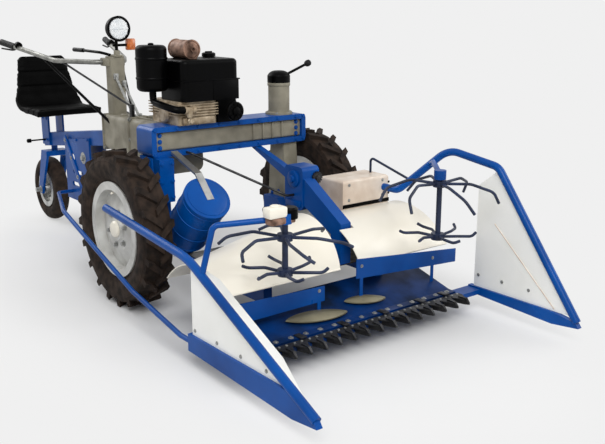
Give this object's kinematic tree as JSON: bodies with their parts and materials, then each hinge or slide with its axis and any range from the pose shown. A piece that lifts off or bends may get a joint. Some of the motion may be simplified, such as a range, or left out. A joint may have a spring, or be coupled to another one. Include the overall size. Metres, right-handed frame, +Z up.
{
  "type": "reaper binder",
  "caption": "Self-propelled reaper binder: portal frame on lugged wheels, front cutter bar with crop dividers and star wheels, engine above, riding seat on a trailing castor wheel.",
  "frame": {"origin": "on the floor, under the middle of the driven axle", "axes": "+Z up, -Y forward towards the cutter bar, +X to the left of someone facing forward"},
  "size_m": [1.4698, 3.7359, 1.3519],
  "materials": {
    "blue_paint": "gloss",
    "cream_paint": "gloss",
    "cast_grey": "satin",
    "black_paint": "satin",
    "muffler_brown": "matte",
    "dark_steel": "satin",
    "bright_steel": "satin",
    "star_wire": "satin",
    "tyre_rubber": "matte",
    "grip_rubber": "matte",
    "seat_cover": "satin",
    "lamp_glass": "gloss"
  },
  "bodies": {
    "chassis": {"air_cleaner": "black_paint", "beam_housing": "cast_grey", "beam_rails": "blue_paint", "binding_table": "dark_steel", "brace": "blue_paint", "can_strap": "bright_steel", "control_post": "cast_grey", "control_rod": "dark_steel", "deck": "blue_paint", "divider_panel_left": "cream_paint", "divider_panel_right": "cream_paint", "divider_skid_left": "blue_paint", "divider_skid_right": "blue_paint", "divider_tube_left": "blue_paint", "divider_tube_right": "blue_paint", "drawbar": "blue_paint", "drive_box": "blue_paint", "drive_cover": "cream_paint", "engine_block": "cast_grey", "fan_shroud": "black_paint", "finger_bar": "blue_paint", "fingers": "dark_steel", "fuel_tank": "black_paint", "gearbox": "cast_grey", "grips": "grip_rubber", "guard_rail": "blue_paint", "guide_strips": "blue_paint", "handle_stays": "black_paint", "handlebar": "bright_steel", "header_arms": "blue_paint", "header_crossbar": "blue_paint", "headlamp_glass": "lamp_glass", "headlamp_shell": "black_paint", "hood_left": "cream_paint", "hood_right": "cream_paint", "knotter_arm": "blue_paint", "knotter_box": "blue_paint", "leg_left": "cast_grey", "leg_right": "blue_paint", "lock_knob": "black_paint", "muffler": "muffler_brown", "post_cap": "black_paint", "rear_bracket": "blue_paint", "seat": "seat_cover", "seat_post": "blue_paint", "star_bracket_left": "blue_paint", "star_bracket_right": "blue_paint", "steering_column": "cast_grey", "twine_can": "blue_paint", "wire_loop": "bright_steel"},
    "wheel_right": {"tyre_right": "tyre_rubber", "rim_right": "cream_paint"},
    "wheel_left": {"tyre_left": "tyre_rubber", "rim_left": "cream_paint"},
    "rear_fork_body": {"rear_fork": "blue_paint"},
    "rear_wheel": {"rear_tyre": "tyre_rubber", "rear_rim": "bright_steel"},
    "star_wheel_right": {"star_right": "star_wire"},
    "star_wheel_left": {"star_left": "star_wire"},
    "knife_body": {"knife": "dark_steel"}
  },
  "joints": [
    {"name": "wheel_right_spin", "type": "hinge", "parent": "chassis", "child": "wheel_right", "pos_m": [-0.562, 0, 0.378], "axis": [1, 0, 0], "continuous": true},
    {"name": "wheel_left_spin", "type": "hinge", "parent": "chassis", "child": "wheel_left", "pos_m": [0.562, 0, 0.378], "axis": [1, 0, 0], "continuous": true},
    {"name": "rear_swivel", "type": "hinge", "parent": "chassis", "child": "rear_fork_body", "pos_m": [-0.19, 1.75, 0.5], "axis": [0, 0, 1], "range_deg": [-45, 45]},
    {"name": "rear_wheel_spin", "type": "hinge", "parent": "rear_fork_body", "child": "rear_wheel", "pos_m": [-0.19, 1.85, 0.212], "axis": [1, 0, 0], "continuous": true},
    {"name": "star_right_spin", "type": "hinge", "parent": "chassis", "child": "star_wheel_right", "pos_m": [-0.42, -1.094, 0.5], "axis": [0, 0, 1], "continuous": true},
    {"name": "star_left_spin", "type": "hinge", "parent": "chassis", "child": "star_wheel_left", "pos_m": [0.42, -1.11, 0.5], "axis": [0, 0, 1], "continuous": true},
    {"name": "knife_slide", "type": "slide", "parent": "chassis", "child": "knife_body", "axis": [1, 0, 0], "range_m": [-0.0381, 0.0381]}
  ]
}
